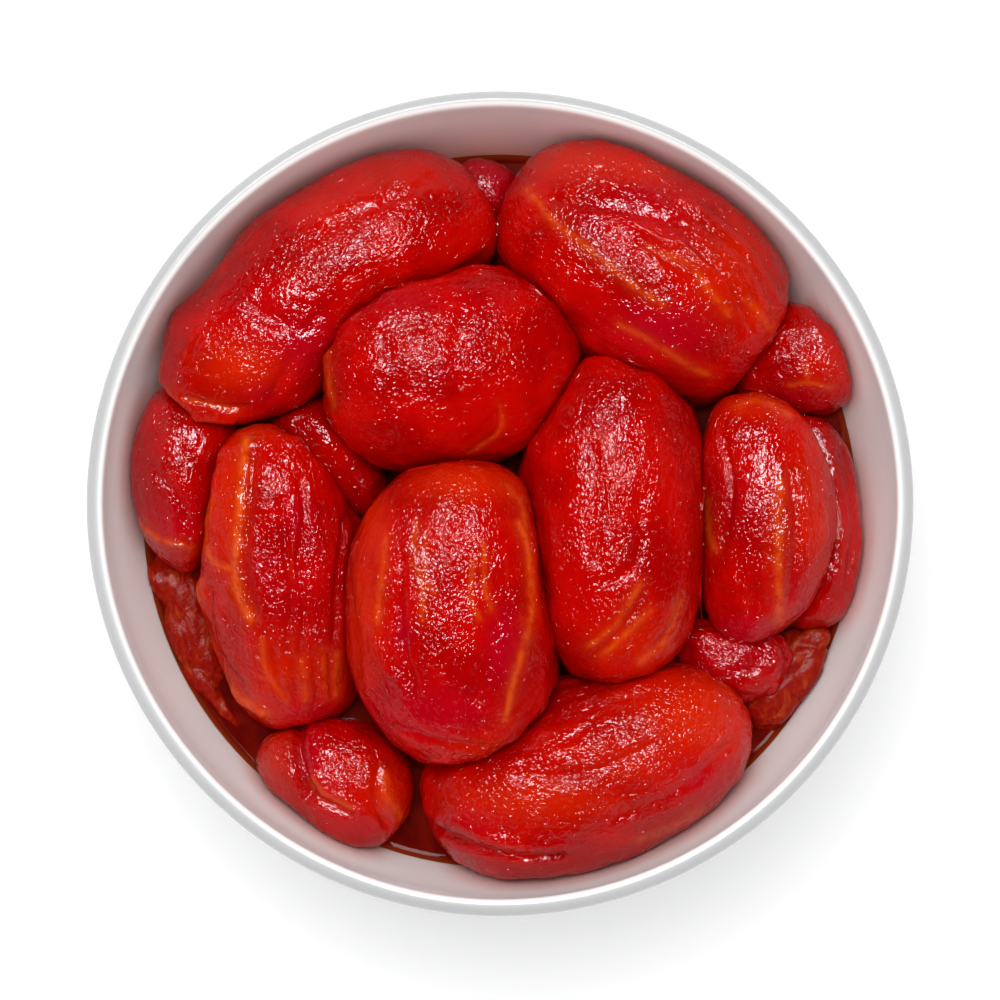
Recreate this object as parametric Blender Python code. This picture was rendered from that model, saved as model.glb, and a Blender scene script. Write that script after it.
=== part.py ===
"""A white bowl heaped with peeled plum tomatoes in their juice.

The origin is at the middle of the bowl's foot, on the surface that it stands on.
X points right, Y to the back and Z up. Lengths are metres.
"""
import math
from collections import namedtuple

import bmesh
import bpy
import numpy as np

MM = 0.001

# Bowl
RIM_RADIUS = 85 * MM
BOWL_HEIGHT = 70 * MM
WALL_AT_RIM = 3.5 * MM
LIP_INSIDE = 1.2 * MM
LIP_DROP_INSIDE = 1.5 * MM
LIP_DROP_OUTSIDE = 3.5 * MM
HOLLOW_RADIUS = RIM_RADIUS - WALL_AT_RIM
HOLLOW_DEPTH = 64 * MM
HOLLOW_FULLNESS = 2.2
FOOT_RADIUS = 38 * MM
FOOT_WIDTH = 4 * MM
FOOT_RECESS = 2.5 * MM
BOWL_SIDES = 48

# Contents
JUICE_LEVEL = 42 * MM
TOUCH_GAP = 0.3 * MM
WALL_GAP = 0.4 * MM
PRESS_GAP = 0.7 * MM
# A pocket has flatter facets than its tomato, so it stands clear by a share of its height too
POCKET_GAP = 0.6 * MM
POCKET_SLACK = 0.028
PLUM_SQUARENESS = 2.4

# Sides and rings of a faceted tomato
LARGE = (26, 14)
MEDIUM = (20, 11)
SMALL = (14, 9)
POCKET = (14, 9)

# Millimetres and degrees. x, y, z place the middle, heading turns the long axis from +X,
# bend bows it sideways, taper widens the leading end and pitch lifts it.
Plum = namedtuple("Plum", "name x y z length width height heading bend taper pitch facets")

TOMATOES = [
    Plum("tomato_back_left", -36, 44, 51, 80, 39, 36, 38, -2, 0.20, -5, LARGE),
    Plum("tomato_back_right", 29.5, 50, 47.5, 65, 49, 45, -35, 1, 0, 3, LARGE),
    Plum("tomato_middle", -9.5, 29, 55, 56, 42.5, 39, 8, 0, -0.05, -6, LARGE),
    Plum("tomato_front_middle", -8.5, -23, 56, 64, 44, 40, 93, -3, 0, 5, LARGE),
    Plum("tomato_middle_right", 23.5, -2.5, 54, 70, 39, 36, 90, -1, 0, 0, LARGE),
    Plum("tomato_right", 54, -1.5, 53, 49, 28.5, 26, 90, 4, -0.05, 3, LARGE),
    Plum("tomato_left", -45.5, -14.5, 47.5, 67, 36, 33, 99, 1, 0.11, 6, LARGE),
    Plum("tomato_front", 18.5, -54, 46, 70, 41, 38, 19, 2, -0.08, 1, LARGE),
    Plum("tomato_far_right", 63.5, -3, 44, 46, 25, 23, 93, 0, -0.04, 3, MEDIUM),
    Plum("tomato_far_left", -63.5, 7, 48, 42, 25, 23, 91, -2, 0, 4, MEDIUM),
    Plum("tomato_front_left", -34.5, -56.5, 44.5, 33, 24, 22, -29, -2, 0.14, 2, MEDIUM),
    Plum("tomato_tucked_left", -38, 10, 47, 31, 24, 22, -49, 0, -0.06, -3, MEDIUM),
    Plum("tomato_end_right", 60.5, 32.5, 44.5, 33.5, 25, 23, -12, 0, 0.04, 6, MEDIUM),
    Plum("tomato_end_back", -4.5, 65, 42, 18, 18, 17, 85, 0, 0, 0, SMALL),
]

TORN_BITS = [
    Plum("torn_end_right", 49, -31.5, 46, 23, 13, 12, -12, 4, 0.06, 0, SMALL),
    Plum("pulp_left", -66, -21.5, 39, 36, 18, 11, -66, -2, 0, 0, SMALL),
    Plum("pulp_right", 59, -35.5, 42, 24, 16, 12, 50, 0, 0, 0, SMALL),
]


def linear(value):
    """Turn one channel of a screen colour, 0 to 255, into a shader value."""
    share = value / 255
    return share / 12.92 if share <= 0.04045 else ((share + 0.055) / 1.055) ** 2.4


def finish(name, red, green, blue, roughness):
    """Make a plain material of one screen colour."""
    material = bpy.data.materials.new(name)
    material.use_nodes = True
    shader = material.node_tree.nodes["Principled BSDF"]
    shader.inputs["Base Color"].default_value = (linear(red), linear(green), linear(blue), 1)
    shader.inputs["Roughness"].default_value = roughness
    shader.inputs["Metallic"].default_value = 0
    material.diffuse_color = (linear(red), linear(green), linear(blue), 1)
    return material


def add_object(name, mesh_data, material, smooth_below):
    """Make an object of a bmesh, shaded smooth below the given angle in degrees."""
    bmesh.ops.recalc_face_normals(mesh_data, faces=mesh_data.faces)
    mesh = bpy.data.meshes.new(name)
    mesh_data.to_mesh(mesh)
    mesh_data.free()
    mesh.shade_smooth()
    mesh.set_sharp_from_angle(angle=math.radians(smooth_below))
    mesh.materials.append(material)
    piece = bpy.data.objects.new(name, mesh)
    bpy.context.scene.collection.objects.link(piece)
    return piece


def hollow_profile():
    """Points (radius, height) down the bowl's inner wall, from the lip to its lowest point."""
    top = math.asin(LIP_DROP_INSIDE / HOLLOW_DEPTH)
    steps = 9
    points = []
    for i in range(steps + 1):
        turn = top + (math.pi / 2 - top) * i / steps
        share = 1 - math.sin(turn) ** HOLLOW_FULLNESS
        radius = HOLLOW_RADIUS * max(share, 0) ** (1 / HOLLOW_FULLNESS)
        points.append((radius, BOWL_HEIGHT - HOLLOW_DEPTH * math.sin(turn)))
    return points


def hollow_radius(height):
    """Smallest radius of the faceted inner wall at a height, for numbers or arrays."""
    radii, heights = zip(*reversed(hollow_profile()))
    return np.interp(height, heights, radii) * math.cos(math.pi / BOWL_SIDES)


def bowl_profile():
    """Points (radius, height) from the recess under the foot, over the lip, to the inside."""
    wall_top = BOWL_HEIGHT - LIP_DROP_OUTSIDE
    foot_top = wall_top - wall_top * math.sqrt(1 - (FOOT_RADIUS / RIM_RADIUS) ** 2)
    points = [
        (0.0, FOOT_RECESS),
        (FOOT_RADIUS - FOOT_WIDTH, FOOT_RECESS),
        (FOOT_RADIUS - FOOT_WIDTH, 0.0),
        (FOOT_RADIUS, 0.0),
    ]
    wall_steps = 7
    lowest = math.asin((wall_top - foot_top) / wall_top)
    for i in range(wall_steps + 1):
        turn = lowest * (1 - i / wall_steps)
        points.append((RIM_RADIUS * math.cos(turn), wall_top - wall_top * math.sin(turn)))
    ridge = HOLLOW_RADIUS + LIP_INSIDE
    for degrees in (40, 90):
        turn = math.radians(degrees)
        out = (RIM_RADIUS - ridge) * math.cos(turn)
        points.append((ridge + out, wall_top + LIP_DROP_OUTSIDE * math.sin(turn)))
    return points + hollow_profile()


def turned(profile):
    """Spin a profile round the Z axis into a closed solid."""
    solid = bmesh.new()
    corners = [solid.verts.new((radius, 0, height)) for radius, height in profile]
    edges = [solid.edges.new(pair) for pair in zip(corners, corners[1:])]
    bmesh.ops.spin(
        solid,
        geom=corners + edges,
        cent=(0, 0, 0),
        axis=(0, 0, 1),
        angle=math.tau,
        steps=BOWL_SIDES,
        use_merge=True,
    )
    bmesh.ops.remove_doubles(solid, verts=solid.verts, dist=0.01 * MM)
    return solid


def make_bowl():
    add_object("bowl", turned(bowl_profile()), finish("white_glaze", 226, 220, 217, 0.2), 40)


def placed(plum, u, v, w):
    """Turn shares of a tomato's half length, half width and half height into a place."""
    heading = math.radians(plum.heading)
    swell = 1 + plum.taper * u
    along = u * plum.length / 2
    across = v * swell * plum.width / 2 + plum.bend * (u ** 2 - 0.5)
    up = w * swell * plum.height / 2 + along * math.tan(math.radians(plum.pitch))
    x = plum.x + along * math.cos(heading) - across * math.sin(heading)
    y = plum.y + along * math.sin(heading) + across * math.cos(heading)
    return np.stack([x, y, plum.z + up], axis=-1) * MM


def outside(plum, places):
    """How far, in metres, places lie outside a tomato's own skin. Inside is negative."""
    heading = math.radians(plum.heading)
    x = places[..., 0] / MM - plum.x
    y = places[..., 1] / MM - plum.y
    along = x * math.cos(heading) + y * math.sin(heading)
    u = along / (plum.length / 2)
    across = y * math.cos(heading) - x * math.sin(heading) - plum.bend * (u ** 2 - 0.5)
    up = places[..., 2] / MM - plum.z - along * math.tan(math.radians(plum.pitch))
    swell = 1 + plum.taper * np.clip(u, -1.5, 1.5)
    round_part = np.hypot(across / (plum.width / 2), up / (plum.height / 2)) / swell
    skin = (round_part ** PLUM_SQUARENESS + np.abs(u) ** PLUM_SQUARENESS) ** (1 / PLUM_SQUARENESS)
    return (skin - 1) * plum.height / 2 * MM


def free_place(plum, places, neighbours):
    """True where a place belongs to this tomato, clear of its neighbours and the wall."""
    own = outside(plum, places)
    free = np.hypot(places[..., 0], places[..., 1]) < hollow_radius(places[..., 2]) - WALL_GAP
    for other in neighbours:
        free &= own < outside(other, places) - PRESS_GAP
    return free


def skin_reach(directions):
    """How far each direction runs from the middle to the skin of a tomato that nothing presses."""
    u, v, w = directions.T
    total = np.hypot(v, w) ** PLUM_SQUARENESS + np.abs(u) ** PLUM_SQUARENESS
    return total ** (-1 / PLUM_SQUARENESS)


def pressed_reach(plum, directions, neighbours):
    """How far each direction runs from the middle to the skin, a neighbour or the wall."""
    longest = skin_reach(directions)
    steps = 48
    inner = np.zeros_like(longest)
    going = np.ones(longest.shape, bool)
    for i in range(1, steps + 1):
        trial = longest * i / steps
        going &= free_place(plum, placed(plum, *(directions * trial[:, None]).T), neighbours)
        inner = np.where(going, trial, inner)
    outer = np.minimum(inner + longest / steps, longest)
    for _ in range(10):
        trial = (inner + outer) / 2
        free = free_place(plum, placed(plum, *(directions * trial[:, None]).T), neighbours)
        inner = np.where(free, trial, inner)
        outer = np.where(free, outer, trial)
    return np.where(going, longest, inner)


def faceted(plum, facets, far, grow=0):
    """A sphere whose corners move out to their reach, its long axis through the poles."""
    solid = bmesh.new()
    sides, rings = facets
    bmesh.ops.create_uvsphere(solid, u_segments=sides, v_segments=rings, radius=1)
    directions = np.array([(corner.co.z, corner.co.x, corner.co.y) for corner in solid.verts])
    sizes = np.array([plum.length, plum.width, plum.height]) / 2 * MM
    swollen = directions * far(directions)[:, None] * (1 + grow / sizes)
    for corner, place in zip(solid.verts, placed(plum, *swollen.T)):
        corner.co = place
    bmesh.ops.triangulate(solid, faces=solid.faces, quad_method="SHORT_EDGE")
    return solid


def make_pieces():
    """Each tomato and torn bit, pressed against those that it touches."""
    flesh = finish("tomato_flesh", 186, 8, 4, 0.3)
    pulp = finish("pulp", 150, 34, 14, 0.35)
    everything = TOMATOES + TORN_BITS
    for plum in everything:
        neighbours = [other for other in everything if other is not plum]
        solid = faceted(
            plum, plum.facets, lambda directions: pressed_reach(plum, directions, neighbours)
        )
        material = pulp if plum.name.startswith("pulp") else flesh
        add_object(plum.name, solid, material, 50)


def make_juice():
    """The juice fills the hollow up to its level, with a pocket for each piece that dips in."""
    edge = float(hollow_radius(JUICE_LEVEL)) - TOUCH_GAP
    profile = [(0.0, JUICE_LEVEL), (edge, JUICE_LEVEL)]
    for radius, height in hollow_profile():
        if height + TOUCH_GAP < JUICE_LEVEL:
            profile.append((max(radius - TOUCH_GAP, 0), height + TOUCH_GAP))
    juice = add_object("juice", turned(profile), finish("juice", 120, 10, 4, 0.1), 40)
    pockets = bpy.data.collections.new("pockets")
    bpy.context.scene.collection.children.link(pockets)
    for plum in TOMATOES + TORN_BITS:
        gap = POCKET_GAP + POCKET_SLACK * plum.height * MM
        if (plum.z - plum.height / 2) * MM - gap > JUICE_LEVEL:
            continue
        pocket = faceted(plum, POCKET, skin_reach, gap)
        cutter = add_object("pocket_" + plum.name, pocket, juice.active_material, 50)
        bpy.context.scene.collection.objects.unlink(cutter)
        pockets.objects.link(cutter)
    cut = juice.modifiers.new("pockets", "BOOLEAN")
    cut.operation = "DIFFERENCE"
    cut.operand_type = "COLLECTION"
    cut.collection = pockets
    cut.solver = "EXACT"
    apply_modifiers(juice)
    for cutter in list(pockets.objects):
        bpy.data.objects.remove(cutter)
    keep_largest_body(juice)


def apply_modifiers(piece):
    """Give an object the mesh that its modifiers make, and clear them."""
    evaluated = piece.evaluated_get(bpy.context.evaluated_depsgraph_get())
    finished = bpy.data.meshes.new_from_object(evaluated)
    piece.modifiers.clear()
    piece.data = finished


def keep_largest_body(piece):
    """Drop the loose scraps of juice that are cut off between a tomato and the wall."""
    solid = bmesh.new()
    solid.from_mesh(piece.data)
    waiting = set(solid.verts)
    bodies = []
    while waiting:
        body = set()
        front = [waiting.pop()]
        while front:
            corner = front.pop()
            body.add(corner)
            linked = {edge.other_vert(corner) for edge in corner.link_edges} & waiting
            waiting -= linked
            front.extend(linked)
        bodies.append(body)
    bodies.sort(key=len)
    for scrap in bodies[:-1]:
        bmesh.ops.delete(solid, geom=list(scrap), context="VERTS")
    solid.to_mesh(piece.data)
    solid.free()


def main():
    for leftover in list(bpy.data.objects):
        bpy.data.objects.remove(leftover)
    make_bowl()
    make_pieces()
    make_juice()


main()
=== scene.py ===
import math

import bpy
import numpy as np
from mathutils import Matrix, Vector
from mathutils.bvhtree import BVHTree


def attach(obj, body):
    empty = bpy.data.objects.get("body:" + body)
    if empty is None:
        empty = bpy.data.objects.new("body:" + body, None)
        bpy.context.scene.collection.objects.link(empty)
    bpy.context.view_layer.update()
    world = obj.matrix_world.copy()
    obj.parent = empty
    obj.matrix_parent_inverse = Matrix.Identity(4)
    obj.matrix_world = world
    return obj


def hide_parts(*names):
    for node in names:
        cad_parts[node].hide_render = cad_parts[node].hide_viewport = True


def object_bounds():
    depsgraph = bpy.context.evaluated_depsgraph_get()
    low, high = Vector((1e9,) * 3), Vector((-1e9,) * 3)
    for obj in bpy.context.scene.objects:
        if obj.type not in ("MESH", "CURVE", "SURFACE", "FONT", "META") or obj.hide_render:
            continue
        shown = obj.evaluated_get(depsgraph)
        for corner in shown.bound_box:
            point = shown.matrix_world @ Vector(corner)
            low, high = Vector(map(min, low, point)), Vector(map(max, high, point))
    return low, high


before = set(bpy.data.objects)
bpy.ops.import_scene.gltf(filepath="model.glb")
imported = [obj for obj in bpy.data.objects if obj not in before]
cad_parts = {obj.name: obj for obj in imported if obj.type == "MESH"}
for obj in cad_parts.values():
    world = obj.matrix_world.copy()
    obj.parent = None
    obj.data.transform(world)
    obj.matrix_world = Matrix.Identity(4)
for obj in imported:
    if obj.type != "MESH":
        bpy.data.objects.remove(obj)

CAD_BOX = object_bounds()
MM = 0.001

# Bowl
RIM_RADIUS = 85 * MM
BOWL_HEIGHT = 70 * MM
HOLLOW_RADIUS = 81.5 * MM
HOLLOW_DEPTH = 64 * MM
HOLLOW_FULLNESS = 2.2
LIP_INSIDE = 1.2 * MM
LIP_DROP_INSIDE = 1.5 * MM
LIP_DROP_OUTSIDE = 3.5 * MM
FOOT_RADIUS = 38 * MM
FOOT_WIDTH = 4 * MM
FOOT_RECESS = 2.5 * MM
TURNED_SIDES = 144

JUICE_LEVEL = 42 * MM

# The photograph's view: from above, a little to the front of upright
RIM_CENTRE = Vector((0, 0, BOWL_HEIGHT))
CAMERA_DISTANCE = 0.9
CAMERA_TILT = math.radians(4)
CAMERA_BACK = Vector((0, -math.sin(CAMERA_TILT), math.cos(CAMERA_TILT)))
CAMERA_UP = Vector((0, math.cos(CAMERA_TILT), math.sin(CAMERA_TILT)))
EYE = RIM_CENTRE + CAMERA_BACK * CAMERA_DISTANCE
LENS = 158.2
SENSOR = 36
PICTURE = 1000
PIXELS_PER_TANGENT = LENS / SENSOR * PICTURE

# Painted light on the glaze: how much the outside gets against the inside, and where it starts
# below the rim; the rim band is left in painted shade
PAINTED_LIGHT_OUTSIDE = 0.4
RIM_BAND = 5 * MM
RIM_FADE = 12 * MM

# How far juice stains the wall above its level, how much farther the painted shade and red
# reflection reach at the back, and how far they reach round a tomato
STAIN_REACH = 7 * MM
SHADE_AND_REFLECTION_REACH_BEHIND = 7 * MM
SHADE_AND_REFLECTION_ROUND_FOOD = 3 * MM

# How finely the flesh is meshed, and how far it swells out of its solid
COARSE_VOXEL = 1.0 * MM
FINE_VOXEL = 0.45 * MM
SWELL = 0.7 * MM
TORN_SWELL = 2.5 * MM

# Reliefs in the flesh: a lump's width, how many times as long it is, its height and its detail
LUMPS = (9 * MM, 1.6, 1.1 * MM, 1)
TEARS = (5 * MM, 1.2, 2.6 * MM, 1)
ROPES = (3.2 * MM, 1.8, 0.5 * MM, 1)
GRAINS = (1.6 * MM, 1.2, 0.1 * MM, 0)
PULP_FOLDS = (3.4 * MM, 2.2, 1.5 * MM, 1)
PULP_SHREDS = (1.4 * MM, 2.4, 0.3 * MM, 1)
SEED_STEP = np.array([13.7 * MM, 7.1 * MM, 0])

TORN_END = "torn_end_right"
TOMATOES = [
    "tomato_back_left",
    "tomato_back_right",
    "tomato_middle",
    "tomato_front_middle",
    "tomato_middle_right",
    "tomato_right",
    "tomato_left",
    "tomato_front",
    "tomato_far_right",
    "tomato_far_left",
    "tomato_front_left",
    "tomato_tucked_left",
    "tomato_end_right",
    "tomato_end_back",
    TORN_END,
]

# Veins that show through the flesh: how strong, how wide, and the pixels that they run through
VEINS = {
    "tomato_back_right": [
        (0.6, 3, [(527, 189), (555, 222), (589, 249), (632, 284), (662, 304)]),
        (0.5, 3, [(648, 249), (688, 264), (707, 288), (729, 314)]),
        (0.4, 3, [(618, 324), (654, 343), (688, 365), (709, 375)]),
        (0.4, 3, [(747, 300), (762, 316), (771, 330)]),
    ],
    "tomato_front_middle": [
        (0.5, 2, [(416, 520), (415, 561), (421, 579), (423, 620)]),
        (0.4, 2, [(425, 532), (425, 578), (434, 592)]),
        (0.5, 2, [(484, 544), (485, 589), (491, 610)]),
        (0.4, 2, [(473, 561), (471, 598), (480, 619)]),
        (0.7, 3, [(519, 523), (527, 545), (531, 582), (530, 623), (515, 676), (505, 720)]),
        (0.5, 3, [(385, 538), (383, 575), (379, 597), (378, 623)]),
        (0.4, 3, [(506, 487), (520, 503), (526, 526)]),
    ],
    "tomato_left": [
        (0.9, 3.5, [(246, 440), (240, 500), (236, 580), (250, 620)]),
        (0.6, 3, [(210, 500), (205, 530), (212, 560), (235, 570)]),
        (0.7, 4, [(197, 580), (199, 620), (207, 655), (230, 690), (265, 715)]),
        (0.4, 2.5, [(262, 640), (266, 670), (285, 700)]),
        (0.35, 2.5, [(302, 660), (306, 700)]),
        (0.35, 2.5, [(322, 650), (326, 695)]),
        (0.4, 3, [(337, 655), (336, 695)]),
    ],
    "tomato_right": [
        (0.6, 4, [(780, 480), (778, 560), (780, 620)]),
        (0.4, 3, [(708, 500), (708, 530), (714, 548)]),
        (0.4, 3, [(735, 405), (760, 400), (790, 415)]),
    ],
    "tomato_middle_right": [
        (0.5, 3, [(590, 645), (615, 625), (640, 585)]),
        (0.5, 3, [(603, 655), (628, 632), (650, 610)]),
        (0.5, 3, [(640, 662), (665, 640), (680, 600)]),
    ],
    "tomato_middle": [
        (0.4, 3, [(328, 350), (328, 380), (334, 405)]),
        (0.3, 2, [(500, 405), (500, 430), (470, 452)]),
    ],
    "tomato_end_right": [
        (0.5, 2, [(790, 385), (810, 383), (832, 388)]),
        (0.4, 2, [(806, 360), (808, 385)]),
    ],
    "tomato_far_left": [(0.6, 3, [(140, 525), (160, 540), (192, 548)])],
    "tomato_back_left": [
        (0.6, 4, [(163, 393), (172, 404), (190, 423), (215, 430)]),
        (0.4, 3, [(185, 399), (205, 403), (235, 410)]),
    ],
    "tomato_front": [(0.4, 4, [(640, 840), (670, 828), (700, 812)])],
    "tomato_front_left": [
        (0.5, 4, [(384, 775), (388, 798), (402, 818)]),
        (0.4, 3, [(312, 780), (325, 795), (350, 808)]),
    ],
}

# Where the flesh turns scarlet: how strong, the middle and the half sizes
SCARLET = {
    "tomato_back_left": [
        (0.8, (240, 365), (38, 24)),
        (0.4, (390, 175), (60, 18)),
        (0.4, (320, 205), (30, 14)),
    ],
    "tomato_back_right": [
        (0.8, (570, 158), (60, 20)),
        (0.7, (650, 165), (50, 16)),
        (0.5, (735, 265), (45, 60)),
        (0.5, (755, 312), (30, 18)),
    ],
    "tomato_front_middle": [
        (0.9, (465, 482), (50, 20)),
        (0.7, (372, 520), (16, 50)),
        (0.7, (362, 600), (16, 70)),
        (0.4, (490, 745), (40, 12)),
    ],
    "tomato_left": [
        (0.6, (226, 500), (18, 70)),
        (0.5, (285, 670), (50, 35)),
        (0.5, (215, 660), (14, 35)),
        (0.5, (265, 430), (30, 12)),
    ],
    "tomato_front": [
        (0.9, (700, 715), (60, 42)),
        (0.7, (540, 800), (80, 22)),
        (0.5, (640, 760), (60, 30)),
    ],
    "tomato_front_left": [(0.55, (270, 755), (20, 40)), (0.4, (385, 800), (22, 30))],
    "tomato_right": [(0.6, (815, 500), (22, 80)), (0.5, (765, 405), (45, 16))],
    "tomato_middle_right": [(0.4, (640, 640), (50, 22))],
    "tomato_end_right": [(0.3, (830, 370), (20, 30))],
}

# Where it turns crimson, and lies smooth
CRIMSON = {
    "tomato_back_left": [(0.7, (300, 345), (34, 30)), (0.5, (262, 392), (18, 14))],
    "tomato_back_right": [(0.9, (662, 328), (50, 26)), (0.5, (640, 200), (30, 14))],
    "tomato_front_middle": [
        (0.9, (504, 648), (18, 40)),
        (0.8, (404, 632), (8, 24)),
        (0.7, (430, 712), (60, 26)),
    ],
    "tomato_middle": [(0.4, (400, 300), (50, 18))],
    "tomato_left": [(0.6, (305, 708), (40, 12)), (0.5, (300, 515), (14, 20))],
    "tomato_front": [(0.8, (700, 775), (50, 22)), (0.5, (470, 820), (30, 14))],
    "tomato_right": [(0.7, (800, 600), (30, 36)), (0.8, (745, 632), (40, 16))],
    "tomato_far_left": [(0.6, (165, 525), (34, 26))],
    "tomato_front_left": [(0.7, (310, 760), (12, 30)), (0.5, (350, 825), (40, 12))],
    "tomato_end_right": [(0.4, (800, 395), (40, 14))],
    TORN_END: [(0.4, (735, 650), (50, 25))],
    "tomato_end_back": [(0.9, (490, 175), (40, 25))],
}

# Where the bared flesh lies in fine grains, which the light catches
GRAINY = {
    "tomato_back_left": [
        (1.0, (240, 345), (36, 22)),
        (1.0, (325, 265), (34, 28)),
        (1.0, (370, 235), (34, 24)),
        (1.0, (415, 218), (26, 24)),
    ],
    "tomato_back_right": [
        (1.0, (610, 245), (44, 26)),
        (1.0, (565, 222), (22, 14)),
        (1.0, (690, 204), (22, 12)),
        (0.9, (600, 165), (46, 14)),
        (0.9, (690, 250), (34, 14)),
    ],
    "tomato_middle": [(1.0, (440, 365), (56, 60)), (1.0, (500, 350), (38, 50))],
    "tomato_end_right": [(1.0, (796, 345), (26, 22))],
    "tomato_front_middle": [
        (1.0, (455, 515), (40, 36)),
        (0.9, (400, 540), (22, 50)),
        (1.0, (445, 635), (30, 28)),
        (1.0, (385, 665), (36, 26)),
        (1.0, (490, 732), (18, 10)),
    ],
    "tomato_middle_right": [(1.0, (608, 510), (36, 80)), (0.9, (602, 600), (36, 20))],
    "tomato_right": [
        (1.0, (722, 460), (20, 36)),
        (1.0, (758, 530), (44, 24)),
        (0.9, (740, 590), (24, 24)),
        (0.8, (805, 520), (18, 50)),
    ],
    "tomato_left": [
        (1.0, (270, 560), (34, 70)),
        (1.0, (322, 560), (26, 90)),
        (1.0, (305, 645), (34, 28)),
        (1.0, (310, 475), (46, 26)),
    ],
    "tomato_far_left": [(1.0, (172, 480), (18, 22)), (1.0, (192, 505), (16, 14))],
    "tomato_front_left": [(1.0, (350, 765), (22, 30)), (0.8, (290, 755), (16, 30))],
    "tomato_front": [
        (1.0, (560, 770), (60, 18)),
        (1.0, (670, 722), (44, 24)),
        (1.0, (610, 760), (50, 22)),
        (0.8, (495, 790), (40, 20)),
    ],
    TORN_END: [(1.0, (718, 652), (36, 22))],
}

# Folds of the flesh: how high (a groove is below 0), how wide, and the pixels that they run through
FOLDS = {
    "tomato_front_left": [
        (-2.2 * MM, 6, [(300, 722), (298, 745), (302, 770), (308, 796)]),
        (-1.1 * MM, 4, [(308, 786), (318, 799), (335, 808), (352, 816)]),
        (0.6 * MM, 5, [(315, 776), (326, 791), (345, 800)]),
        (-0.9 * MM, 5, [(378, 770), (376, 800), (386, 822)]),
    ],
    "tomato_front": [
        (-1.4 * MM, 4, [(418, 818), (460, 841), (510, 856), (562, 856)]),
        (0.8 * MM, 7, [(420, 806), (465, 828), (512, 844), (562, 846)]),
        (0.7 * MM, 8, [(510, 764), (560, 752), (605, 745)]),
        (-0.7 * MM, 6, [(540, 778), (600, 768), (650, 745)]),
        (-0.7 * MM, 7, [(620, 815), (680, 790), (730, 745)]),
    ],
    "tomato_left": [
        (-0.7 * MM, 4, [(283, 500), (285, 545), (292, 600), (288, 650)]),
        (-0.7 * MM, 4, [(345, 520), (338, 580), (335, 640)]),
        (-0.6 * MM, 4, [(300, 480), (305, 520), (298, 560), (304, 610), (300, 655)]),
        (-0.9 * MM, 5, [(254, 450), (250, 500), (245, 560), (254, 612)]),
        (0.8 * MM, 4, [(197, 580), (199, 620), (207, 655), (230, 690), (262, 713)]),
        (-1.0 * MM, 4, [(208, 590), (209, 625), (218, 655), (239, 685)]),
        (-0.45 * MM, 3, [(273, 650), (282, 692)]),
        (-0.45 * MM, 3, [(293, 660), (297, 700)]),
        (-0.45 * MM, 3, [(313, 655), (317, 697)]),
        (-0.45 * MM, 3, [(330, 655), (331, 694)]),
    ],
    "tomato_front_middle": [
        (-1.0 * MM, 5, [(402, 560), (400, 610), (404, 650), (414, 695)]),
        (0.6 * MM, 6, [(374, 640), (386, 665), (406, 692)]),
        (-0.6 * MM, 5, [(345, 560), (352, 620), (358, 675)]),
        (-0.7 * MM, 10, [(490, 620), (488, 660), (478, 695)]),
        (-0.9 * MM, 4, [(395, 728), (440, 742), (482, 748)]),
        (0.5 * MM, 8, [(440, 500), (438, 560), (444, 640)]),
    ],
    "tomato_back_left": [
        (0.9 * MM, 4, [(165, 393), (190, 418), (232, 420)]),
        (-1.0 * MM, 4, [(186, 398), (215, 406), (247, 408)]),
        (-0.8 * MM, 8, [(292, 360), (272, 398)]),
        (-0.8 * MM, 8, [(258, 312), (300, 330), (322, 312)]),
        (-0.6 * MM, 6, [(330, 225), (380, 205), (430, 180)]),
    ],
    "tomato_back_right": [
        (0.8 * MM, 4, [(636, 225), (655, 236), (676, 246)]),
        (0.8 * MM, 4, [(676, 240), (692, 252), (708, 269)]),
        (-0.7 * MM, 5, [(640, 240), (665, 257), (700, 277)]),
        (-0.7 * MM, 6, [(555, 200), (590, 204), (640, 214), (680, 226)]),
        (0.6 * MM, 5, [(680, 199), (702, 212)]),
        (-0.5 * MM, 3, [(705, 225), (745, 258), (775, 305)]),
        (-0.5 * MM, 3, [(715, 208), (755, 245), (783, 290)]),
        (-0.5 * MM, 3, [(690, 245), (727, 280), (752, 330)]),
    ],
    "tomato_middle": [
        (-0.7 * MM, 8, [(462, 318), (456, 365), (464, 420)]),
        (-0.6 * MM, 8, [(383, 345), (398, 380), (385, 412)]),
        (-0.4 * MM, 3, [(500, 405), (498, 430), (470, 452)]),
    ],
    "tomato_middle_right": [
        (-0.6 * MM, 7, [(592, 450), (600, 500), (596, 560)]),
        (-0.6 * MM, 6, [(640, 500), (636, 560), (612, 582)]),
        (-0.6 * MM, 4, [(597, 652), (625, 624), (645, 590)]),
        (-0.6 * MM, 4, [(655, 650), (674, 625), (684, 600)]),
    ],
    "tomato_right": [
        (-0.9 * MM, 5, [(724, 440), (732, 490), (722, 545)]),
        (-0.7 * MM, 5, [(760, 550), (756, 580), (752, 615)]),
        (-0.9 * MM, 5, [(790, 470), (797, 530), (790, 595)]),
        (-0.7 * MM, 4, [(832, 500), (836, 560), (816, 602)]),
    ],
    "tomato_far_left": [
        (-0.6 * MM, 5, [(152, 468), (180, 500), (186, 520)]),
        (0.5 * MM, 3, [(140, 525), (160, 540), (192, 548)]),
    ],
    "tomato_end_right": [(-0.6 * MM, 4, [(756, 374), (790, 366)])],
    "tomato_far_right": [(-0.7 * MM, 4, [(842, 450), (854, 520), (848, 585)])],
}

# Where a tomato reaches out farther than its solid: the middle, the half sizes and the push (mm)
REACHES = {
    "tomato_back_left": [
        ((178, 318), (30, 44), (-2.4, 1.2)),
        ((245, 225), (60, 40), (-1.0, 1.3)),
        ((165, 385), (26, 34), (-1.6, 0)),
    ],
    "tomato_right": [((738, 628), (46, 30), (0.3, -2.6))],
}

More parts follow.
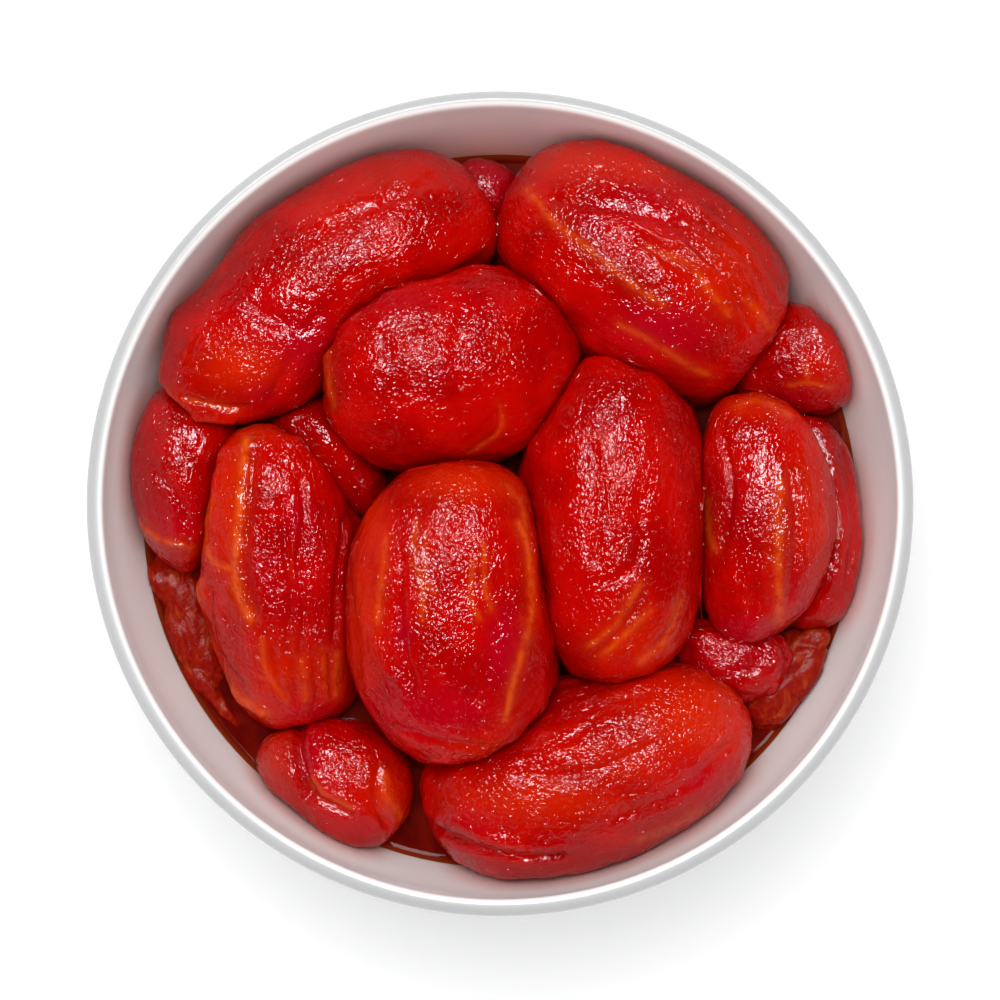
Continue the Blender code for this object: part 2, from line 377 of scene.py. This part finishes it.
# Threads of juice between tomatoes, as the pixels that they run through
THREAD_RADIUS = 0.4 * MM
THREADS = [
    [(500, 214), (498, 222), (497, 236)],
    [(384, 288), (397, 285), (411, 283)],
    [(624, 360), (632, 362), (641, 366)],
    [(740, 388), (756, 390), (776, 398)],
    [(704, 484), (703, 496), (702, 512)],
    [(700, 580), (700, 598), (702, 620)],
    [(786, 324), (772, 338), (758, 360)],
    [(395, 474), (412, 470), (436, 465)],
    [(530, 284), (540, 294), (552, 306)],
    [(574, 382), (580, 374), (584, 366)],
]

# Bits of flesh caught in the pulp: pixel, height, length, width, thickness (mm) and turn (degrees)
BITS_LEFT = [
    ((165, 585), 42.5, 12, 6, 5, -60),
    ((182, 640), 42.5, 14, 5, 5, -65),
    ((203, 682), 42.0, 12, 5, 4, -50),
    ((224, 708), 41.8, 10, 3, 3, -52),
]
BITS_RIGHT = [
    ((810, 640), 45.5, 9, 4.5, 3.5, 20),
    ((783, 657), 47.0, 3.6, 3.0, 3.0, 40),
    ((792, 677), 44.0, 5, 3, 3, 60),
    ((778, 708), 43.5, 4.5, 4.5, 3, 30),
]


def alone(piece):
    """Select one object and make it the active one."""
    bpy.ops.object.select_all(action="DESELECT")
    piece.select_set(True)
    bpy.context.view_layer.objects.active = piece


def apply(piece, kind, **settings):
    """Add a modifier, set it up and apply it."""
    alone(piece)
    modifier = piece.modifiers.new(kind.lower(), kind)
    for setting, value in settings.items():
        setattr(modifier, setting, value)
    bpy.ops.object.modifier_apply(modifier=modifier.name)


def fix_place(piece):
    """Put an object's place into its mesh."""
    alone(piece)
    bpy.ops.object.transform_apply(location=True, rotation=True, scale=True)


def dress(piece, slot, material, *nodes):
    """Finish a piece: its material, the body that it rides on and what it stands for. The slot is
    not used.
    """
    piece.data.materials.clear()
    piece.data.materials.append(material)
    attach(piece, "root")
    if nodes:
        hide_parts(*nodes)


def corners(piece):
    """A mesh's corner places and its corner normals, as arrays."""
    count = len(piece.data.vertices)
    places = np.empty(count * 3)
    piece.data.vertices.foreach_get("co", places)
    normals = np.empty(count * 3)
    piece.data.vertices.foreach_get("normal", normals)
    return places.reshape(-1, 3), normals.reshape(-1, 3)


def move_corners(piece, places):
    piece.data.vertices.foreach_set("co", places.ravel())
    piece.data.update()


def in_picture(places):
    """The pixels at which the photograph's camera sees places."""
    offset = places - np.array(RIM_CENTRE)
    ahead = CAMERA_DISTANCE - offset @ np.array(CAMERA_BACK)
    across = PICTURE / 2 + PIXELS_PER_TANGENT * offset[:, 0] / ahead
    down = PICTURE / 2 - PIXELS_PER_TANGENT * (offset @ np.array(CAMERA_UP)) / ahead
    return np.stack([across, down], axis=1)


def sight_to(pixel):
    """The direction in which the camera sees a pixel."""
    across = (pixel[0] - PICTURE / 2) / PIXELS_PER_TANGENT
    rise = (PICTURE / 2 - pixel[1]) / PIXELS_PER_TANGENT
    return Vector((across, 0, 0)) + CAMERA_UP * rise - CAMERA_BACK


def place_at(pixel, height):
    """The place at a height that the camera sees at a pixel."""
    sight = sight_to(pixel)
    return EYE + sight * ((height - EYE.z) / sight.z)


def line_distance(points, line):
    """Distance from each point to the nearest place on a line of points."""
    nearest = np.full(len(points), np.inf)
    for start, end in zip(line, line[1:]):
        start, end = np.array(start, float), np.array(end, float)
        run = end - start
        share = np.clip(((points - start) @ run) / (run @ run), 0, 1)
        nearest = np.minimum(nearest, np.linalg.norm(points - start - share[:, None] * run, axis=1))
    return nearest


def curved(line, steps=6):
    """A smooth line through a few points."""
    points = [np.array(point, float) for point in line]
    if len(points) < 3:
        return line
    points = [2 * points[0] - points[1]] + points + [2 * points[-1] - points[-2]]
    smooth = []
    for before, start, end, after in zip(points, points[1:], points[2:], points[3:]):
        for i in range(steps):
            t = i / steps
            smooth.append(
                0.5
                * (
                    2 * start
                    + (end - before) * t
                    + (2 * before - 5 * start + 4 * end - after) * t ** 2
                    + (3 * start - before - 3 * end + after) * t ** 3
                )
            )
    smooth.append(points[-2])
    return smooth


# Camera


def make_camera():
    camera = bpy.data.objects.new("camera", bpy.data.cameras.new("camera"))
    bpy.context.scene.collection.objects.link(camera)
    camera.data.lens = LENS
    camera.data.sensor_width = SENSOR
    camera.location = EYE
    camera.rotation_euler = (CAMERA_TILT, 0, 0)
    camera.data.clip_end = 10
    bpy.context.scene.camera = camera


# Materials


def screen(red, green, blue):
    """A colour given as it looks on a screen, 0 to 255, as a shader's colour."""
    channels = []
    for value in (red, green, blue):
        share = value / 255
        channels.append(share / 12.92 if share <= 0.04045 else ((share + 0.055) / 1.055) ** 2.4)
    return (*channels, 1)


class Recipe:
    """A material's node tree, built a node at a time."""

    def __init__(self, name):
        self.material = bpy.data.materials.new(name)
        self.material.use_nodes = True
        self.tree = self.material.node_tree
        self.shader = self.tree.nodes["Principled BSDF"]

    def node(self, kind, settings=None, **sockets):
        """A new node. Its sockets are given by name, with _ for a space."""
        node = self.tree.nodes.new("ShaderNode" + kind)
        for setting, value in (settings or {}).items():
            setattr(node, setting, value)
        for socket, value in sockets.items():
            self.plug(node.inputs[socket.replace("_", " ")], value)
        return node

    def plug(self, socket, value):
        """Link another node's output to a socket, or give the socket a value."""
        if isinstance(value, bpy.types.NodeSocket):
            self.tree.links.new(value, socket)
        else:
            socket.default_value = value

    def set(self, **sockets):
        """Set up the surface shader."""
        for socket, value in sockets.items():
            self.plug(self.shader.inputs[socket.replace("_", " ")], value)

    def places(self):
        return self.node("TexCoord").outputs["Object"]

    def painted(self, name, output="Fac"):
        return self.node("Attribute", {"attribute_name": name}).outputs[output]

    def noise(self, places, scale, detail=2, roughness=0.5, distortion=0):
        node = self.node(
            "TexNoise",
            Vector=places,
            Scale=scale,
            Detail=detail,
            Roughness=roughness,
            Distortion=distortion,
        )
        return node.outputs["Fac"]

    def stretch(self, places, factors):
        return self.node("Mapping", Vector=places, Scale=factors).outputs["Vector"]

    def between(self, value, low, high, start=0.0, end=1.0):
        """Go softly from start to end while a value goes from low to high."""
        node = self.node("MapRange", Value=value)
        node.interpolation_type = "SMOOTHSTEP"
        node.inputs["From Min"].default_value = low
        node.inputs["From Max"].default_value = high
        node.inputs["To Min"].default_value = start
        node.inputs["To Max"].default_value = end
        return node.outputs["Result"]

    def mix(self, share, first, second):
        node = self.node("Mix", {"data_type": "RGBA"})
        self.plug(node.inputs[0], share)
        self.plug(node.inputs[6], first)
        self.plug(node.inputs[7], second)
        return node.outputs[2]

    def math(self, operation, *values):
        node = self.node("Math", {"operation": operation})
        for socket, value in zip(node.inputs, values):
            self.plug(socket, value)
        return node.outputs["Value"]

    def bump(self, height, distance, normal=None):
        node = self.node("Bump", Height=height, Distance=distance, Strength=1.0)
        if normal is not None:
            self.plug(node.inputs["Normal"], normal)
        return node.outputs["Normal"]


def white_glaze():
    """White glaze, painted a brighter white in the hollow as painted light and a grey over the rim
    as painted shade, with a juice stain and painted red reflection on the wall.
    """
    glaze = Recipe("white_glaze")
    places = glaze.places()
    cloud = glaze.noise(places, scale=30)
    # Painted shade: the grey over the rim and the top of the outside; painted light: the brighter
    # white in the hollow
    rim = glaze.mix(cloud, screen(183, 183, 184), screen(189, 189, 190))
    hollow = glaze.mix(cloud, screen(241, 244, 243), screen(246, 249, 248))
    # The juice stain, with painted red reflection and painted shade near the tomatoes and at the
    # back
    stain_and_reflection = glaze.math("MULTIPLY", glaze.painted("stain_and_reflection"), 0.75)
    colour = glaze.mix(glaze.painted("painted_light"), rim, hollow)
    glaze.set(
        Base_Color=glaze.mix(stain_and_reflection, colour, screen(206, 104, 88)),
        Roughness=0.16,
        Specular_IOR_Level=0.15,
        Normal=glaze.bump(glaze.noise(places, scale=140), 0.04 * MM),
    )
    return glaze.material


def tomato_flesh():
    """Wet bared flesh: grains that the light catches, among smoother and duller patches."""
    flesh = Recipe("tomato_flesh")
    places = flesh.places()
    grain = flesh.painted("grain", "Vector")
    crimson = flesh.painted("crimson")

    mottle = flesh.noise(places, scale=75, detail=3, roughness=0.55)
    clouds = flesh.noise(places, scale=42)
    lengthwise = flesh.stretch(grain, (70, 620, 620))
    fibres = flesh.noise(lengthwise, scale=1, detail=3, roughness=0.6, distortion=0.4)
    colour = flesh.mix(flesh.between(mottle, 0.35, 0.65), screen(154, 0, 0), screen(182, 3, 0))
    colour = flesh.mix(flesh.between(clouds, 0.55, 0.7, end=0.3), colour, screen(164, 0, 12))
    colour = flesh.mix(crimson, colour, screen(164, 0, 22))
    colour = flesh.mix(flesh.painted("scarlet"), colour, screen(200, 32, 0))
    colour = flesh.mix(flesh.between(fibres, 0.58, 0.85, end=0.35), colour, screen(192, 36, 4))
    flecks = flesh.noise(places, scale=420, roughness=0.6)
    broken = flesh.between(flecks, 0.3, 0.6, start=0.35)
    vein = flesh.math("MULTIPLY", flesh.painted("vein"), broken)
    colour = flesh.mix(vein, colour, screen(218, 84, 16))

    # Grains stand out most where the flesh is painted grainy, and less where it is crimson
    patches = flesh.noise(places, scale=135, detail=3, roughness=0.65, distortion=0.3)
    grainy = flesh.math("MULTIPLY_ADD", flesh.painted("grainy"), 0.26, patches)
    bared = flesh.between(grainy, 0.44, 0.66, start=0.42)
    calm = flesh.between(crimson, 0.2, 0.9, start=1, end=0.75)
    fine = flesh.stretch(grain, (1150, 1400, 1400))
    grains = flesh.noise(fine, scale=1, detail=1, roughness=0.55, distortion=0.4)
    grit = flesh.math("MULTIPLY", grains, flesh.math("MULTIPLY", bared, calm))
    wavy = flesh.stretch(grain, (260, 440, 440))
    ripples = flesh.noise(wavy, scale=1, roughness=0.55, distortion=0.4)
    pimples = flesh.between(flesh.noise(places, scale=760, detail=0), 0.62, 0.74)

    # The wet film is rougher than the flesh under it, so that it glints in fine grains
    soft = flesh.bump(ripples, 0.2 * MM)
    soft = flesh.bump(grit, 0.12 * MM, soft)
    wet = flesh.bump(ripples, 0.35 * MM)
    wet = flesh.bump(grit, 0.48 * MM, wet)
    wet = flesh.bump(pimples, 0.24 * MM, wet)
    flesh.set(
        Base_Color=colour,
        Roughness=0.5,
        IOR=1.4,
        Specular_IOR_Level=0.0,
        Coat_Weight=1.0,
        Coat_Roughness=0.06,
        Coat_IOR=1.4,
        Coat_Normal=wet,
        Subsurface_Weight=0.15,
        Subsurface_Radius=(3 * MM, 0.4 * MM, 0.2 * MM),
        Subsurface_Scale=1.0,
        Normal=soft,
    )
    return flesh.material


def juice_finish():
    """Deep red juice with a thin brown edge along the wall."""
    juice = Recipe("juice")
    places = juice.places()
    wall = hollow_radius(JUICE_LEVEL)
    radius = juice.node("VectorMath", {"operation": "LENGTH"})
    juice.plug(radius.inputs[0], juice.stretch(places, (1, 1, 0)))
    edge = juice.between(radius.outputs["Value"], wall - 1.4 * MM, wall + 0.6 * MM, end=0.8)
    cloud = juice.noise(places, scale=160, detail=4, roughness=0.6)
    colour = juice.mix(juice.between(cloud, 0.4, 0.7), screen(88, 2, 0), screen(118, 14, 2))
    juice.set(
        Base_Color=juice.mix(edge, colour, screen(150, 58, 20)),
        Roughness=0.08,
        IOR=1.33,
        Specular_IOR_Level=0.1,
    )
    return juice.material


def thread_finish():
    """Juice drawn out thin between two tomatoes."""
    thread = Recipe("juice_thread")
    cloud = thread.noise(thread.places(), scale=500, detail=1)
    thread.set(
        Base_Color=thread.mix(cloud, screen(150, 0, 0), screen(176, 8, 2)),
        Roughness=0.06,
        IOR=1.5,
        Normal=thread.bump(cloud, 0.1 * MM),
    )
    return thread.material


def pulp_finish():
    """Fibrous flesh that the juice has soaked, with paler shreds."""
    pulp = Recipe("pulp")
    places = pulp.places()
    thin = pulp.stretch(places, (620, 420, 300))
    fibres = pulp.noise(thin, scale=1, detail=4, roughness=0.65, distortion=1.2)
    shreds = pulp.noise(pulp.stretch(places, (300, 200, 160)), scale=1, distortion=0.8)
    paler = pulp.between(shreds, 0.55, 0.75, end=0.6)
    colour = pulp.mix(pulp.between(fibres, 0.4, 0.7), screen(134, 12, 2), screen(154, 32, 10))
    pulp.set(
        Base_Color=pulp.mix(paler, colour, screen(180, 76, 28)),
        Roughness=0.2,
        IOR=1.36,
        Specular_IOR_Level=0.12,
        Normal=pulp.bump(fibres, 0.22 * MM),
    )
    return pulp.material


def floor_finish():
    """A pale, dull floor that glows a little, so that it stays white round the shadow."""
    floor = Recipe("pale_floor")
    floor.set(
        Base_Color=(0.92, 0.92, 0.92, 1),
        Roughness=0.9,
        Emission_Color=(1, 1, 1, 1),
        Emission_Strength=0.05,
    )
    return floor.material


# Bowl and juice, turned


def turn(name, profile):
    """A closed solid from (radius, height) steps: one circle, extruded and scaled each step."""
    radius, height = profile[0]
    bpy.ops.object.select_all(action="DESELECT")
    bpy.ops.mesh.primitive_circle_add(
        vertices=TURNED_SIDES, radius=radius, fill_type="TRIFAN", location=(0, 0, height)
    )
    piece = bpy.context.active_object
    piece.name = name
    bpy.ops.object.mode_set(mode="EDIT")
    bpy.ops.mesh.select_all(action="DESELECT")
    bpy.ops.mesh.select_mode(type="EDGE")
    bpy.ops.mesh.select_non_manifold()
    for next_radius, next_height in profile[1:]:
        bpy.ops.mesh.extrude_region_move(
            TRANSFORM_OT_translate={"value": (0, 0, next_height - height)}
        )
        share = next_radius / radius
        bpy.ops.transform.resize(value=(share, share, 1), center_override=(0, 0, next_height))
        radius, height = next_radius, next_height
    bpy.ops.mesh.edge_face_add()
    bpy.ops.mesh.poke()
    bpy.ops.mesh.select_all(action="SELECT")
    bpy.ops.mesh.normals_make_consistent(inside=False)
    bpy.ops.object.mode_set(mode="OBJECT")
    fix_place(piece)
    alone(piece)
    bpy.ops.object.shade_smooth_by_angle(angle=math.radians(40))
    return piece


def hollow_radius(height):
    """The radius of the bowl's hollow at a height."""
    depth = (BOWL_HEIGHT - height) / HOLLOW_DEPTH
    return HOLLOW_RADIUS * max(1 - depth ** HOLLOW_FULLNESS, 0) ** (1 / HOLLOW_FULLNESS)


def hollow_profile(top, steps):
    """Steps (radius, height) down the inner wall from a height almost to the middle."""
    start = math.asin((BOWL_HEIGHT - top) / HOLLOW_DEPTH)
    profile = []
    for i in range(steps):
        turned = start + (math.pi / 2 - start) * i / steps
        height = BOWL_HEIGHT - HOLLOW_DEPTH * math.sin(turned)
        profile.append((hollow_radius(height), height))
    return profile


def bowl_profile():
    """Steps (radius, height) from under the bowl, up its outside, over the rim and down inside."""
    wall_top = BOWL_HEIGHT - LIP_DROP_OUTSIDE
    foot_top = wall_top - wall_top * math.sqrt(1 - (FOOT_RADIUS / RIM_RADIUS) ** 2)
    soft = 0.7 * MM
    inside = FOOT_RADIUS - FOOT_WIDTH
    profile = [
        (inside - 2 * soft, FOOT_RECESS),
        (inside, FOOT_RECESS),
        (inside, soft),
        (inside + soft, 0),
        (FOOT_RADIUS - soft, 0),
        (FOOT_RADIUS, soft),
        (FOOT_RADIUS, foot_top - soft),
    ]
    steps = 26
    lowest = math.asin((wall_top - foot_top) / wall_top)
    for i in range(1, steps + 1):
        turned = lowest * (1 - i / steps)
        profile.append((RIM_RADIUS * math.cos(turned), wall_top - wall_top * math.sin(turned)))
    ridge = HOLLOW_RADIUS + LIP_INSIDE
    for degrees in range(15, 91, 15):
        turned = math.radians(degrees)
        out = (RIM_RADIUS - ridge) * math.cos(turned)
        profile.append((ridge + out, wall_top + LIP_DROP_OUTSIDE * math.sin(turned)))
    knee = BOWL_HEIGHT - LIP_DROP_INSIDE
    for degrees in (30, 60):
        turned = math.radians(degrees)
        inward = (ridge - hollow_radius(knee)) * math.sin(turned)
        profile.append((ridge - inward, knee + LIP_DROP_INSIDE * math.cos(turned)))
    return profile + hollow_profile(knee, steps=34)


def make_bowl():
    bowl = turn("bowl_glazed", bowl_profile())
    dress(bowl, "white_glaze", white_glaze(), "bowl")
    return bowl


def surfaces(pieces):
    """The pieces' surfaces, in a form that can be searched for the nearest place or a hit."""
    depsgraph = bpy.context.evaluated_depsgraph_get()
    return [BVHTree.FromObject(piece, depsgraph) for piece in pieces]


def paint_wall_light_and_stain(bowl, tomatoes):
    """Paint the glaze's painted light and shade, and where its wall is red with juice stain and
    painted red reflection.
    """
    places, normals = corners(bowl)
    inward = -(places[:, :2] * normals[:, :2]).sum(axis=1) / np.hypot(places[:, 0], places[:, 1])
    inside = np.clip(inward * 2, 0, 1)
    below_rim = np.clip((BOWL_HEIGHT - RIM_BAND - places[:, 2]) / RIM_FADE, 0, 1)
    # Painted light: full on the inside, some on the outside below the rim band; the rim band keeps
    # painted shade
    paint(bowl, "painted_light", np.maximum(inside, PAINTED_LIGHT_OUTSIDE * below_rim))
    back = places[:, 1] / RIM_RADIUS
    reach = STAIN_REACH + SHADE_AND_REFLECTION_REACH_BEHIND * np.maximum(back, 0)
    above_juice = np.exp(-np.maximum(places[:, 2] - JUICE_LEVEL, 0) / reach)
    # Redder and darker at the back and round each tomato: painted shade and painted red reflection
    # of the tomatoes over the juice stain
    shade_and_reflection_behind = np.maximum(0.4 + 0.8 * back, 0.2)
    trees = surfaces(tomatoes)
    gap = np.array([min(tree.find_nearest(place)[3] for tree in trees) for place in places])
    shade_and_reflection_round_food = 0.8 * np.exp(-((gap / SHADE_AND_REFLECTION_ROUND_FOOD) ** 2))
    paint(bowl, "stain_and_reflection", inside * np.maximum(above_juice * shade_and_reflection_behind, shade_and_reflection_round_food))


def make_juice():
    """The juice, a little higher where it clings to the wall."""
    cling = 0.8 * MM
    into_wall = 0.15 * MM
    edge = hollow_radius(JUICE_LEVEL)
    reach = 1.6 * MM
    profile = [(1 * MM, JUICE_LEVEL), (edge - reach, JUICE_LEVEL)]
    for share in (0.5, 0.75, 1):
        lift = cling * share ** 3
        profile.append((edge - reach * (1 - share) + into_wall * share, JUICE_LEVEL + lift))
    for radius, height in hollow_profile(JUICE_LEVEL - 2 * MM, steps=16):
        profile.append((radius + into_wall, height - into_wall))
    juice = turn("juice_pool", profile)
    dress(juice, "juice", juice_finish(), "juice")


# Flesh


def long_axis(places):
    """The middle of a piece and its three axes, longest first."""
    middle = places.mean(axis=0)
    spread = np.cov((places - middle).T)
    values, axes = np.linalg.eigh(spread)
    order = np.argsort(values)[::-1]
    return middle, axes[:, order]


def relief(piece, name, form, seed):
    """Raise lumps on the surface, drawn out along the piece's long axis."""
    width, stretch, height, detail = form
    places, _ = corners(piece)
    middle, axes = long_axis(places)
    if np.linalg.det(axes) < 0:
        axes[:, 2] *= -1
    guide = bpy.data.objects.new("guide", None)
    bpy.context.scene.collection.objects.link(guide)
    matrix = np.eye(4)
    matrix[:3, :3] = axes @ np.diag([width * stretch, width, width])
    matrix[:3, 3] = middle + seed * SEED_STEP
    guide.matrix_world = Matrix(matrix.tolist())
    texture = bpy.data.textures.new(name, "CLOUDS")
    texture.noise_scale = 1.0
    texture.noise_depth = detail
    bpy.context.view_layer.update()
    apply(
        piece,
        "DISPLACE",
        texture=texture,
        texture_coords="OBJECT",
        texture_coords_object=guide,
        mid_level=0.5,
        strength=height,
    )
    bpy.data.objects.remove(guide)


def soft_copy(node):
    """A fine, rounded copy of a faceted solid, swollen to lie against what it touches."""
    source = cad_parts[node]
    piece = bpy.data.objects.new(node + "_flesh", source.data.copy())
    bpy.context.scene.collection.objects.link(piece)
    alone(piece)
    bpy.ops.object.mode_set(mode="EDIT")
    bpy.ops.mesh.select_all(action="SELECT")
    bpy.ops.mesh.remove_doubles(threshold=0.01 * MM)
    bpy.ops.object.mode_set(mode="OBJECT")
    apply(piece, "REMESH", mode="VOXEL", voxel_size=COARSE_VOXEL)
    apply(piece, "SMOOTH", factor=0.5, iterations=12)
    apply(piece, "DISPLACE", strength=TORN_SWELL if node == TORN_END else SWELL, mid_level=0)
    apply(piece, "REMESH", mode="VOXEL", voxel_size=FINE_VOXEL)
    apply(piece, "SMOOTH", factor=0.5, iterations=6)
    return piece


def paint(piece, name, values):
    """Store one number for each corner under a name that the material reads."""
    attribute = piece.data.attributes.new(name, "FLOAT", "POINT")
    attribute.data.foreach_set("value", values)


def paint_grain(piece):
    """Store places along and across the long axis, shifted a different way on each tomato."""
    places, _ = corners(piece)
    middle, axes = long_axis(places)
    along = (places - middle) @ axes + middle.sum()
    attribute = piece.data.attributes.new("grain", "FLOAT_VECTOR", "POINT")
    attribute.data.foreach_set("vector", along.ravel())


def spread_of_spots(pixels, spots):
    """How much of each soft oval spot lies on each pixel."""
    shade = np.zeros(len(pixels))
    for strength, middle, size in spots:
        away = (pixels - np.array(middle)) / np.array(size)
        shade = np.maximum(shade, strength * np.exp(-(away ** 2).sum(axis=1)))
    return shade


def seen(piece):
    """The pixel that each corner lies on, and how far it faces up, from 0 to 1."""
    places, normals = corners(piece)
    return in_picture(places), np.clip(normals[:, 2] * 3, 0, 1)


def stay_below_top(piece):
    """Round off what would stand out over the highest place of the solids."""
    soft = 2 * MM
    start = CAD_BOX[1][2] - soft
    places, _ = corners(piece)
    over = np.maximum(places[:, 2] - start, 0)
    places[:, 2] = np.minimum(places[:, 2], start) + soft * (1 - np.exp(-over / soft))
    move_corners(piece, places)


def stay_off_wall(piece):
    """Draw in what would stand through the bowl's wall."""
    clearance = 0.1 * MM
    places, _ = corners(piece)
    out = np.hypot(places[:, 0], places[:, 1])
    wall = np.array([hollow_radius(min(height, BOWL_HEIGHT)) for height in places[:, 2]])
    share = np.minimum(1, (wall - clearance) / np.maximum(out, 1 * MM))
    places[:, :2] *= share[:, None]
    move_corners(piece, places)


def reach_out(piece, node):
    """Push a tomato's flank out, no farther than the wall."""
    places, _ = corners(piece)
    pixels = in_picture(places)
    for middle, size, push in REACHES[node]:
        share = spread_of_spots(pixels, [(1, middle, size)])
        places[:, :2] += share[:, None] * np.array(push) * MM
    move_corners(piece, places)
    stay_off_wall(piece)


def raise_folds(piece, node):
    """Push the flesh in along its grooves and out along its ridges."""
    pixels, facing = seen(piece)
    places, normals = corners(piece)
    height = np.zeros(len(places))
    for rise, width, line in FOLDS.get(node, []):
        height += rise * np.exp(-((line_distance(pixels, curved(line)) / width) ** 2))
    move_corners(piece, places + normals * (height * facing)[:, None])


def paint_colours(piece, node):
    """Store where the veins, with their faint wider edges, and the soft patches are."""
    pixels, facing = seen(piece)
    shade = np.zeros(len(pixels))
    for strength, width, line in VEINS.get(node, []):
        away = (line_distance(pixels, curved(line)) / width) ** 2
        shade = np.maximum(shade, strength * (0.8 * np.exp(-away) + 0.2 * np.exp(-away / 9)))
    paint(piece, "vein", shade * facing)
    for name, spots in (("scarlet", SCARLET), ("crimson", CRIMSON), ("grainy", GRAINY)):
        paint(piece, name, spread_of_spots(pixels, spots.get(node, [])) * facing)


def make_tomato(node, seed, flesh):
    """A tomato's finely meshed flesh, with its reliefs, folds and painted patterns."""
    piece = soft_copy(node)
    if node in REACHES:
        reach_out(piece, node)
    relief(piece, "lumps", LUMPS, seed)
    raise_folds(piece, node)
    if node == TORN_END:
        relief(piece, "tears", TEARS, seed + 4)
    relief(piece, "ropes", ROPES, seed + 1)
    relief(piece, "grains", GRAINS, seed + 2)
    stay_below_top(piece)
    paint_grain(piece)
    paint_colours(piece, node)
    alone(piece)
    bpy.ops.object.shade_smooth()
    dress(piece, "tomato_flesh", flesh, node)
    return piece


def make_pulp(node, seed, finish, bits):
    """Shreds of flesh in the juice, grown together with the bits that lie among them."""
    piece = soft_copy(node)
    parts = [piece]
    for pixel, height, length, width, thickness, turn_degrees in bits:
        bpy.ops.object.select_all(action="DESELECT")
        bpy.ops.mesh.primitive_uv_sphere_add(
            segments=24, ring_count=12, radius=0.5, location=place_at(pixel, height * MM)
        )
        bit = bpy.context.active_object
        bit.scale = (length * MM, width * MM, thickness * MM)
        bit.rotation_euler = (0, 0, math.radians(turn_degrees))
        parts.append(bit)
    for part in parts:
        part.select_set(True)
    bpy.context.view_layer.objects.active = piece
    bpy.ops.object.join()
    apply(piece, "REMESH", mode="VOXEL", voxel_size=FINE_VOXEL)
    relief(piece, "folds", PULP_FOLDS, seed)
    relief(piece, "shreds", PULP_SHREDS, seed + 1)
    stay_off_wall(piece)
    alone(piece)
    bpy.ops.object.shade_smooth()
    dress(piece, "pulp", finish, node)


def make_threads(tomatoes):
    """Thin threads of juice where two tomatoes meet, thinnest at their ends."""
    curve = bpy.data.curves.new("juice_threads", "CURVE")
    curve.dimensions = "3D"
    curve.bevel_depth = THREAD_RADIUS
    curve.bevel_resolution = 2
    curve.use_fill_caps = True
    trees = surfaces(tomatoes)
    for line in THREADS:
        places = []
        for pixel in curved(line, steps=4):
            hits = [tree.ray_cast(EYE, sight_to(pixel).normalized())[0] for tree in trees]
            hits = [hit for hit in hits if hit is not None]
            if hits:
                places.append(max(hits, key=lambda hit: hit.z))
        spline = curve.splines.new("POLY")
        spline.points.add(len(places) - 1)
        for i, (point, place) in enumerate(zip(spline.points, places)):
            point.co = (*place, 1)
            from_end = min(i, len(places) - 1 - i)
            point.radius = min(1.0, 0.35 + 0.4 * from_end)
    threads = bpy.data.objects.new("juice_threads", curve)
    bpy.context.scene.collection.objects.link(threads)
    alone(threads)
    bpy.ops.object.convert(target="MESH")
    threads = bpy.context.active_object
    bpy.ops.object.shade_smooth()
    dress(threads, "juice", thread_finish())


# Floor and light


def make_floor():
    bpy.ops.object.select_all(action="DESELECT")
    bpy.ops.mesh.primitive_plane_add(size=4, location=(0, 0, 0))
    floor = bpy.context.active_object
    floor.name = "floor"
    floor.data.materials.append(floor_finish())


def soft_light(name, place, size, power, lights_shade=True, glints=True):
    """A round soft light that looks at the bowl, and lights its shades, makes glints, or both."""
    light = bpy.data.lights.new(name, "AREA")
    light.shape = "DISK"
    light.size = size
    light.energy = power
    lamp = bpy.data.objects.new(name, light)
    bpy.context.scene.collection.objects.link(lamp)
    lamp.location = place
    lamp.rotation_euler = (RIM_CENTRE - Vector(place)).to_track_quat("-Z", "Y").to_euler()
    lamp.visible_diffuse = lights_shade
    lamp.visible_glossy = glints


def make_light():
    """An even studio from all sides, one light for the glints and one for the soft shadow."""
    world = bpy.data.worlds.new("studio")
    bpy.context.scene.world = world
    world.use_nodes = True
    world.node_tree.nodes["Background"].inputs["Color"].default_value = (1, 1, 1, 1)
    world.node_tree.nodes["Background"].inputs["Strength"].default_value = 0.88
    world.cycles_visibility.glossy = False
    soft_light("glint_light", place=(-0.06, 0.4, 1.15), size=0.56, power=23, lights_shade=False)
    soft_light("ceiling", place=(-0.1, 0.26, 1.3), size=0.8, power=8.2, glints=False)


bpy.context.scene.view_settings.view_transform = "Standard"
make_camera()
bowl = make_bowl()
make_juice()
flesh = tomato_flesh()
tomatoes = [make_tomato(node, seed * 3 + 1, flesh) for seed, node in enumerate(TOMATOES)]
pulp = pulp_finish()
make_pulp("pulp_left", 60, pulp, BITS_LEFT)
make_pulp("pulp_right", 64, pulp, BITS_RIGHT)
make_threads(tomatoes)
paint_wall_light_and_stain(bowl, tomatoes)
make_floor()
make_light()
